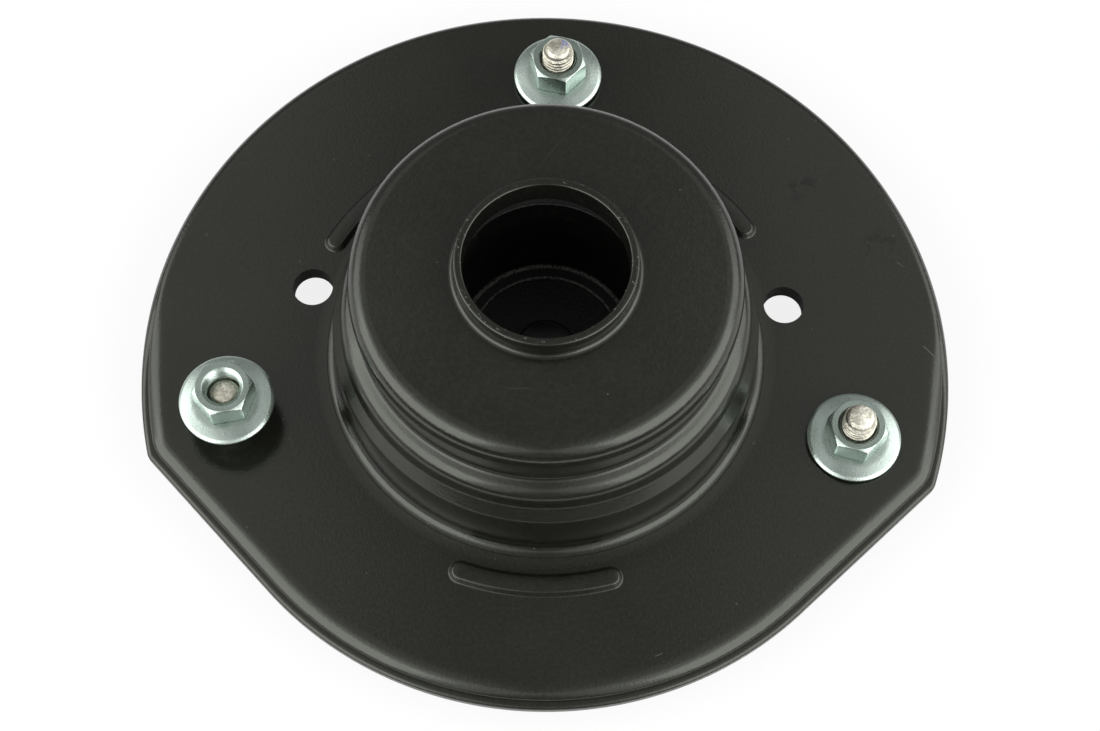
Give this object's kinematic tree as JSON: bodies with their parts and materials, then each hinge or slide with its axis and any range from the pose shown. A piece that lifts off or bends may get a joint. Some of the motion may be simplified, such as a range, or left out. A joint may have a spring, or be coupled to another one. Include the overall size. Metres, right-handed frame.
{
  "type": "strut mount",
  "caption": "Pressed steel flange and tower with a rubber-held core cup for a strut rod, and studs with nuts on captive washers.",
  "frame": {"origin": "on the tower's axis, in the plane of the flange's top face, inside the core's rod hole", "axes": "+Z along the tower's axis towards its open top, +Y towards the single stud, +X across the flange"},
  "size_m": [0.2008, 0.1886, 0.0652],
  "materials": {
    "black_coat": "satin black dip coat",
    "core_coat": "dull black coat",
    "rubber": "moulded matt",
    "stud_steel": "plated thread",
    "zinc": "bright zinc plate"
  },
  "bodies": {
    "housing": {"upper_housing": "black_coat", "lower_retainer": "black_coat", "rubber_cushion": "rubber", "stud_back": "stud_steel", "stud_right": "stud_steel", "stud_left": "stud_steel"},
    "core": {"inner_core": "core_coat"},
    "back_washer": {"washer_back": "zinc"},
    "back_nut": {"nut_back": "zinc"},
    "right_washer": {"washer_right": "zinc"},
    "right_nut": {"nut_right": "zinc"},
    "left_washer": {"washer_left": "zinc"},
    "left_nut": {"nut_left": "zinc"}
  },
  "joints": [
    {"name": "core_yield", "type": "slide", "parent": "housing", "child": "core", "axis": [0, 0, 1], "range_m": [-0.004, 0.004], "stiffness_N_per_m": 300000, "deforming": ["rubber_cushion"]},
    {"name": "back_washer_lift", "type": "slide", "parent": "housing", "child": "back_washer", "axis": [0, 0, 1], "range_m": [-0.001, 0.0124]},
    {"name": "back_nut_turn", "type": "hinge", "parent": "back_washer", "child": "back_nut", "pos_m": [0, 0.0786, 0], "axis": [0, 0, 1], "range_deg": [-286, 3550]},
    {"name": "right_washer_lift", "type": "slide", "parent": "housing", "child": "right_washer", "axis": [0, 0, 1], "range_m": [-0.0006, 0.0128]},
    {"name": "right_nut_turn", "type": "hinge", "parent": "right_washer", "child": "right_nut", "pos_m": [0.07585, -0.02061, 0], "axis": [0, 0, 1], "range_deg": [-171, 3665]},
    {"name": "left_washer_lift", "type": "slide", "parent": "housing", "child": "left_washer", "axis": [0, 0, 1], "range_m": [-0.009, 0.0044]},
    {"name": "left_nut_turn", "type": "hinge", "parent": "left_washer", "child": "left_nut", "pos_m": [-0.07585, -0.02061, 0], "axis": [0, 0, 1], "range_deg": [-2590, 1250]}
  ],
  "couplings": [
    {"joint": "back_washer_lift", "follows": "back_nut_turn", "m_per_rad": 0.00019894},
    {"joint": "right_washer_lift", "follows": "right_nut_turn", "m_per_rad": 0.00019894},
    {"joint": "left_washer_lift", "follows": "left_nut_turn", "m_per_rad": 0.00019894}
  ]
}
